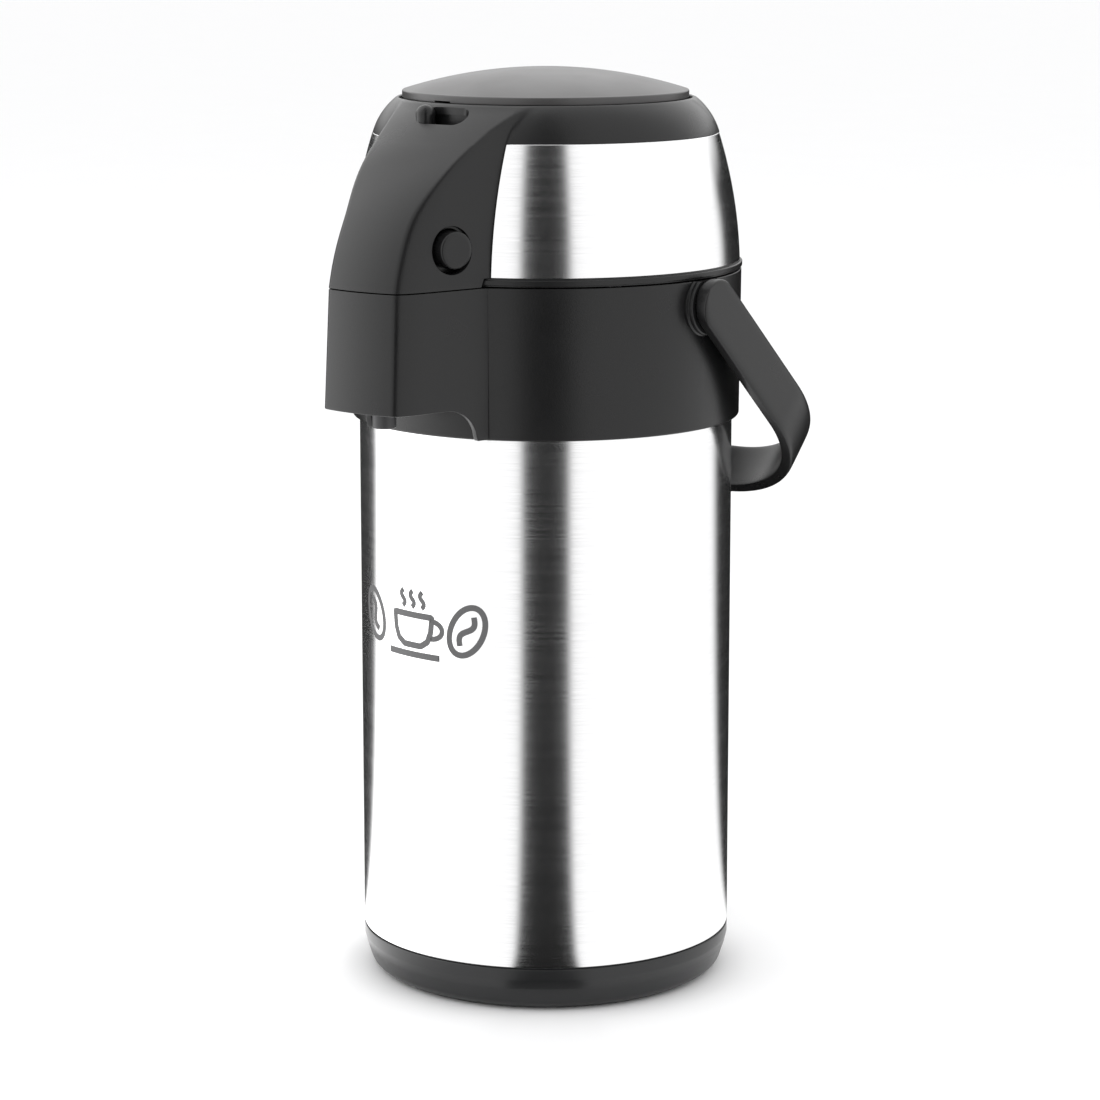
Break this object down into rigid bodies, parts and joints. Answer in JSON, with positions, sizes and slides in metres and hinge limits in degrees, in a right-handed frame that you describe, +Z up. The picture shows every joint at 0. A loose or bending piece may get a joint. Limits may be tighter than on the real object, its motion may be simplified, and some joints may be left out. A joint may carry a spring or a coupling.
{
  "type": "push-top vacuum airpot",
  "caption": "Tall steel vacuum flask with a hinged pump head, press disc, overhanging spout, side release buttons, lock slider and a swinging bail handle.",
  "frame": {"origin": "centre of the flat underside, on the flask's axis", "axes": "+Z up along the flask, -Y towards the spout, +X along the bail's pivots"},
  "size_m": [0.176, 0.2175, 0.375],
  "materials": {
    "brushed_shell": "satin, brushed around the axis",
    "bright_steel": "plain mill finish",
    "fastener_steel": "zinc plated",
    "black_plastic": "fine moulded texture",
    "disc_plastic": "fine moulded texture",
    "base_plastic": "satin",
    "inner_plastic": "plain moulded",
    "pale_plastic": "food-grade natural",
    "soft_rubber": "matte",
    "bellows_rubber": "matte",
    "silicone": "matte"
  },
  "bodies": {
    "flask": {"foot_ring": "soft_rubber", "base_cup": "base_plastic", "base_screws": "fastener_steel", "flask_jacket": "brushed_shell", "flask_shoulder": "bright_steel", "flask_bottom": "bright_steel", "flask_liner": "bright_steel", "liner_cup": "bright_steel", "liner_neck": "bright_steel", "collar": "black_plastic", "spout_chin": "black_plastic", "collar_ring_nut": "inner_plastic", "neck_gasket": "silicone", "siphon_holder": "pale_plastic", "siphon_tube": "bright_steel", "siphon_o_ring": "silicone", "outlet_pipe": "pale_plastic", "spout_nozzle": "inner_plastic", "handle_pivot_pins": "fastener_steel", "hinge_pin": "fastener_steel"},
    "bail": {"bail_handle": "black_plastic"},
    "tip_ball": {"tip_valve_ball": "bright_steel"},
    "head": {"head_base": "inner_plastic", "head_cover": "black_plastic", "spout_hood": "black_plastic", "rear_cover": "black_plastic", "steel_band": "brushed_shell", "head_screws": "fastener_steel", "pump_gasket": "silicone", "air_valve_flap": "silicone", "bellows": "bellows_rubber", "bellows_clamp_ring": "inner_plastic", "return_spring": "fastener_steel", "latch_springs": "fastener_steel"},
    "press": {"press_disc": "disc_plastic", "press_plate": "inner_plastic"},
    "lock": {"lock_slider": "black_plastic"},
    "button_right": {"release_button_right": "black_plastic"},
    "button_left": {"release_button_left": "black_plastic"}
  },
  "joints": [
    {"name": "bail_swing", "type": "hinge", "parent": "flask", "child": "bail", "pos_m": [0, 0, 0.2844], "axis": [1, 0, 0], "range_deg": [0, 180]},
    {"name": "tip_ball_lift", "type": "slide", "parent": "flask", "child": "tip_ball", "axis": [0, 0, 1], "range_m": [0, 0.003]},
    {"name": "lid_open", "type": "hinge", "parent": "flask", "child": "head", "pos_m": [0, 0.0864, 0.2946], "axis": [-1, 0, 0], "range_deg": [0, 95]},
    {"name": "press_stroke", "type": "slide", "parent": "head", "child": "press", "axis": [0, 0, -1], "range_m": [0, 0.022], "stiffness_N_per_m": 900, "springref_m": -0.012, "deforming": ["bellows", "return_spring"]},
    {"name": "lock_turn", "type": "hinge", "parent": "head", "child": "lock", "pos_m": [0, 0, 0.34], "axis": [0, 0, -1], "range_deg": [-11, 0]},
    {"name": "release_right", "type": "slide", "parent": "head", "child": "button_right", "axis": [-0.9659, 0.2588, 0], "range_m": [0, 0.003], "stiffness_N_per_m": 700, "springref_m": -0.003},
    {"name": "release_left", "type": "slide", "parent": "head", "child": "button_left", "axis": [0.9659, 0.2588, 0], "range_m": [0, 0.003], "stiffness_N_per_m": 700, "springref_m": -0.003}
  ]
}
